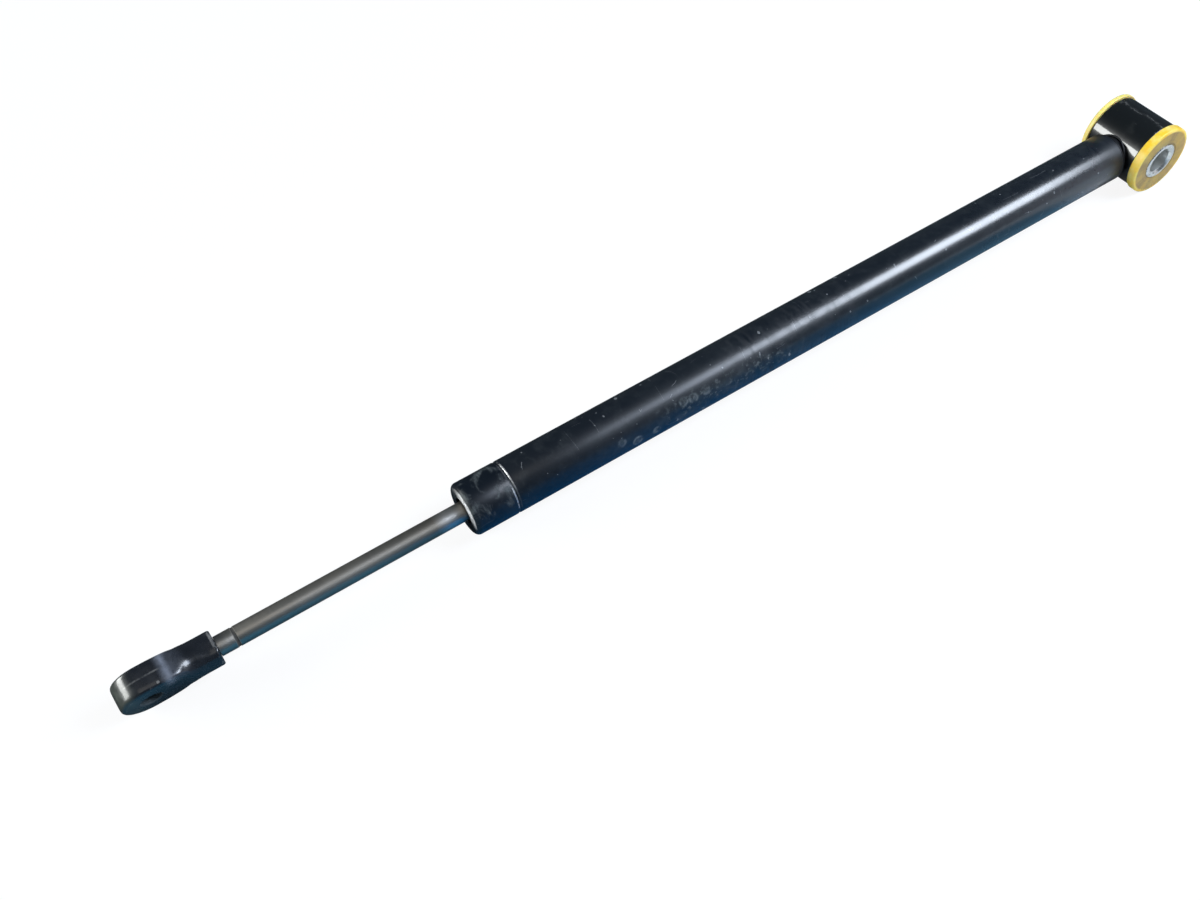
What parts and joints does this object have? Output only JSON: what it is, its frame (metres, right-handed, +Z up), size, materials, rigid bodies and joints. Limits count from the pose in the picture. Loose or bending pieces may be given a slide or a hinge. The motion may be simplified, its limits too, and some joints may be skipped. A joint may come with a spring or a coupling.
{
  "type": "gas strut stay",
  "caption": "Gas strut stay with a black pressure tube, a polyurethane-bushed cross eye on the base and a flat eye on a sliding, turning piston rod.",
  "frame": {"origin": "centre of the bore of the bushed eye, on the strut axis", "axes": "+X along the strut from the flat eye to the bushed eye, +Y along the bore of the bushed eye, +Z up with the bushed eye's bore level"},
  "size_m": [0.6534, 0.0436, 0.0418],
  "materials": {
    "black_paint": "satin",
    "eye_enamel": "gloss",
    "polyurethane": "satin",
    "zinc_plate": "satin",
    "rod_steel": "satin",
    "guide_alloy": "satin",
    "bronze": "satin",
    "seal_rubber": "matte",
    "plain_steel": "satin",
    "piston_steel": "matte",
    "ring_plastic": "matte",
    "buffer_plastic": "matte"
  },
  "bodies": {
    "cylinder": {"pressure_tube": "black_paint", "base_plug": "black_paint", "base_weld": "black_paint", "barrel_weld": "black_paint", "eye_barrel": "black_paint", "bush_near": "polyurethane", "bush_far": "polyurethane", "rod_guide": "guide_alloy", "guide_bush": "bronze", "rod_seal": "seal_rubber", "seal_washer": "plain_steel", "seal_snap_ring": "plain_steel", "guide_o_ring": "seal_rubber", "rod_wiper": "seal_rubber"},
    "sleeve": {"eye_sleeve": "zinc_plate"},
    "ring": {"piston_ring": "ring_plastic"},
    "rod": {"piston_rod": "rod_steel", "rod_eye": "eye_enamel", "extension_buffer": "buffer_plastic", "front_washer": "plain_steel", "valve_disc": "plain_steel", "piston": "piston_steel", "rear_washer": "plain_steel", "piston_nut": "plain_steel"}
  },
  "joints": [
    {"name": "rod_slide", "type": "slide", "parent": "cylinder", "child": "ring", "axis": [1, 0, 0], "range_m": [0, 0.118], "stiffness_N_per_m": 150, "springref_m": -1.2},
    {"name": "rod_turn", "type": "hinge", "parent": "ring", "child": "rod", "pos_m": [-0.4, 0, 0], "axis": [1, 0, 0], "continuous": true},
    {"name": "sleeve_turn", "type": "hinge", "parent": "cylinder", "child": "sleeve", "pos_m": [0, 0, 0], "axis": [0, 1, 0], "continuous": true}
  ]
}
